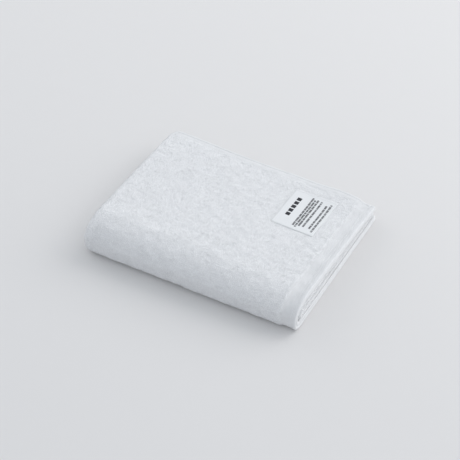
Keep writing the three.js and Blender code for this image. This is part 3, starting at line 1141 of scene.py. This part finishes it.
class TOWEL_OT_label(bpy.types.Operator):
    """Lay the label on the top ply, with its sewing and its plain printed bars"""

    bl_idname = "towel.label"
    bl_label = "Label"

    def execute(self, context):
        label, seams = context.scene.towel_label, context.scene.towel_seams
        surface = LabelSurface(current_folds(), label.thickness)
        low, high = surface.low, surface.high
        satin = satin_material(label.colour)
        x_lines, y_lines = np.linspace(low.x, high.x, 49), np.linspace(low.y, high.y, 61)
        piece = surface.slab("label_satin", x_lines, y_lines, 0, label.thickness, satin)
        flat = [v.co[:2] for v in piece.data.vertices]
        set_uv(piece.data, "Flat cloth", flat)

        printing = self.print_bars(surface, ink_material(label.ink))
        sewing = self.sew(surface, seams)
        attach(piece, "root")
        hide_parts("label")
        for part in (printing, sewing):
            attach(part, "root")
        return {"FINISHED"}

    def print_bars(self, surface, ink):
        """Rows of plain bars, a bold one and six fine ones; each row is (x, from y, to y)"""
        bold = (42 * MM, 25.4 * MM, 54.3 * MM)
        fine = [(54.0 * MM, 15.7 * MM, 58.7 * MM), (56.6 * MM, 14.4 * MM, 58.0 * MM),
                (59.2 * MM, 17.3 * MM, 58.0 * MM), (63.0 * MM, 18.2 * MM, 57.5 * MM),
                (69.0 * MM, 18.6 * MM, 54.9 * MM), (72.6 * MM, 15.2 * MM, 58.6 * MM)]
        ink_rise, ink_depth = 0.05 * MM, 0.09 * MM
        bold_width, fine_width = 4.2 * MM, 1.85 * MM
        bar_gap, word_gap = 0.35 * MM, 0.6 * MM
        draws = np.random.default_rng(5)
        bars = []

        def bar(x, y0, y1, width):
            xs = np.array([x, x + width])
            ys = np.linspace(y0, y1, max(2, int((y1 - y0) / MM) + 1))
            bars.append(surface.slab(f"bar_{len(bars)}", xs, ys, -ink_rise, ink_depth, ink))

        x, start, end = bold
        blocks = 5
        step = (end - start) / blocks
        for i in range(blocks):
            bar(x, start + i * step, start + (i + 0.74) * step, bold_width)
        for x, start, end in fine:
            y = start
            while y < end - 1 * MM:
                for _ in range(draws.integers(2, 7)):
                    length = draws.uniform(0.5, 1.2) * MM
                    if y + length < end:
                        bar(x, y, y + length, fine_width)
                    y += length + bar_gap
                y += word_gap
        return joined("label_bars", bars)

    def sew(self, surface, seams):
        """A row of stitches along each end of the label"""
        thread = yarn_material("Label thread", (0.92, 0.93, 0.94), 4000.0, 0.04)
        stitch = stitch_shape(seams)
        tree = stitch_tree()
        inset = 1.4 * MM
        rows = []
        for number, y in enumerate((surface.low.y + inset, surface.high.y - inset)):
            x = np.linspace(surface.low.x + inset, surface.high.x - inset, 40)
            z = surface.height(x, y + 0 * x)
            points = np.stack([x, y + 0 * x, z], axis=1)
            line = seam_line(f"label_line_{number}", points, np.tile((0, 0, 1), (len(x), 1)))
            rows.append(grown(line, f"label_row_{number}", tree, {
                "Stitch": stitch, "Pitch": 1.9 * MM, "Seed": number + 9, "Thread": thread}))
            discard(line)
        discard(stitch)
        return joined("label_sewing", rows)


class TOWEL_OT_stage(bpy.types.Operator):
    """Set up the floor, the soft light and the camera"""

    bl_idname = "towel.stage"
    bl_label = "Stage"

    def execute(self, context):
        stage = context.scene.towel_stage
        self.floor(stage)
        self.lights(context.scene)
        self.camera(context.scene, stage)
        context.scene.view_settings.view_transform = "Standard"
        return {"FINISHED"}

    def floor(self, stage):
        material, tree, shader = new_material("Pale floor")
        mottle = mottled(tree, stage.floor_colour, 0.01, {"Clump Scale": 3.0, "Fibre Scale": 60.0})
        tree.put(mottle.outputs["Colour"], shader.inputs["Base Color"])
        shader.inputs["Roughness"].default_value = 0.9
        half = 4.0
        corners = [(-half, -half, 0), (half, -half, 0), (half, half, 0), (-half, half, 0)]
        new_piece("floor", corners, [(0, 1, 2, 3)], material)

    def lights(self, scene):
        world = bpy.data.worlds.new("Soft room")
        world.use_nodes = True
        sky = world.node_tree.nodes["Background"]
        sky.inputs["Color"].default_value = (0.9, 0.945, 1, 1)
        sky.inputs["Strength"].default_value = 0.785
        scene.world = world
        side, colour = 1.6, (1.0, 0.985, 0.97)
        rows = [("Window light", (0.59, 1.42, 1.29), 10.8),
                ("Right light", (1.31, 1.31, 0.75), 11.5),
                ("Left light", (-1.71, 0.71, 0.75), 6.0)]
        for name, where, power in rows:
            light = bpy.data.lights.new(name, "AREA")
            light.shape = "SQUARE"
            light.size = side
            light.energy = power
            light.color = colour
            lamp = bpy.data.objects.new(name, light)
            lamp.location = where
            lamp.rotation_mode = "QUATERNION"
            lamp.rotation_quaternion = Vector(where).to_track_quat("Z", "Y")
            scene.collection.objects.link(lamp)

    def camera(self, scene, stage):
        camera = bpy.data.cameras.new("Camera")
        camera.lens_unit = "FOV"
        camera.angle = stage.field
        camera.clip_start = 0.01
        holder = bpy.data.objects.new("Camera", camera)
        a, e = stage.azimuth, stage.elevation
        back = Vector((math.sin(a) * math.cos(e), -math.cos(a) * math.cos(e), math.sin(e)))
        holder.location = Vector(stage.target) + back * stage.distance
        holder.rotation_mode = "QUATERNION"
        holder.rotation_quaternion = back.to_track_quat("Z", "Y")
        scene.collection.objects.link(holder)
        scene.camera = holder


class TOWEL_PT_panel(bpy.types.Panel):
    """The towel's pieces and their sizes"""

    bl_idname = "TOWEL_PT_panel"
    bl_label = "Folded Face Towel"
    bl_space_type = "VIEW_3D"
    bl_region_type = "UI"
    bl_category = "Towel"

    def draw(self, context):
        for title, step in STEPS:
            box = self.layout.box()
            box.label(text=title)
            settings = getattr(context.scene, step["settings"])
            for name in settings.bl_rna.properties.keys():
                if name not in ("rna_type", "name"):
                    box.prop(settings, name)
            box.operator(step["operator"].bl_idname)


SETTINGS = {"towel_cloth": TowelCloth, "towel_pile": TowelPile, "towel_seams": TowelSeams,
            "towel_label": TowelLabel, "towel_stage": TowelStage}

STEPS = [
    ("Stage", {"settings": "towel_stage", "operator": TOWEL_OT_stage}),
    ("Cloth", {"settings": "towel_cloth", "operator": TOWEL_OT_cloth}),
    ("Pile", {"settings": "towel_pile", "operator": TOWEL_OT_pile}),
    ("Seams", {"settings": "towel_seams", "operator": TOWEL_OT_seams}),
    ("Label", {"settings": "towel_label", "operator": TOWEL_OT_label}),
]

CLASSES = [*SETTINGS.values(), *(step["operator"] for _, step in STEPS), TOWEL_PT_panel]


def register():
    for cls in CLASSES:
        bpy.utils.register_class(cls)
    for name, cls in SETTINGS.items():
        setattr(bpy.types.Scene, name, bpy.props.PointerProperty(type=cls))


def unregister():
    for name in SETTINGS:
        delattr(bpy.types.Scene, name)
    for cls in reversed(CLASSES):
        bpy.utils.unregister_class(cls)


def main():
    register()
    for _, step in STEPS:
        group, name = step["operator"].bl_idname.split(".")
        getattr(getattr(bpy.ops, group), name)()


if __name__ == "__main__":
    main()
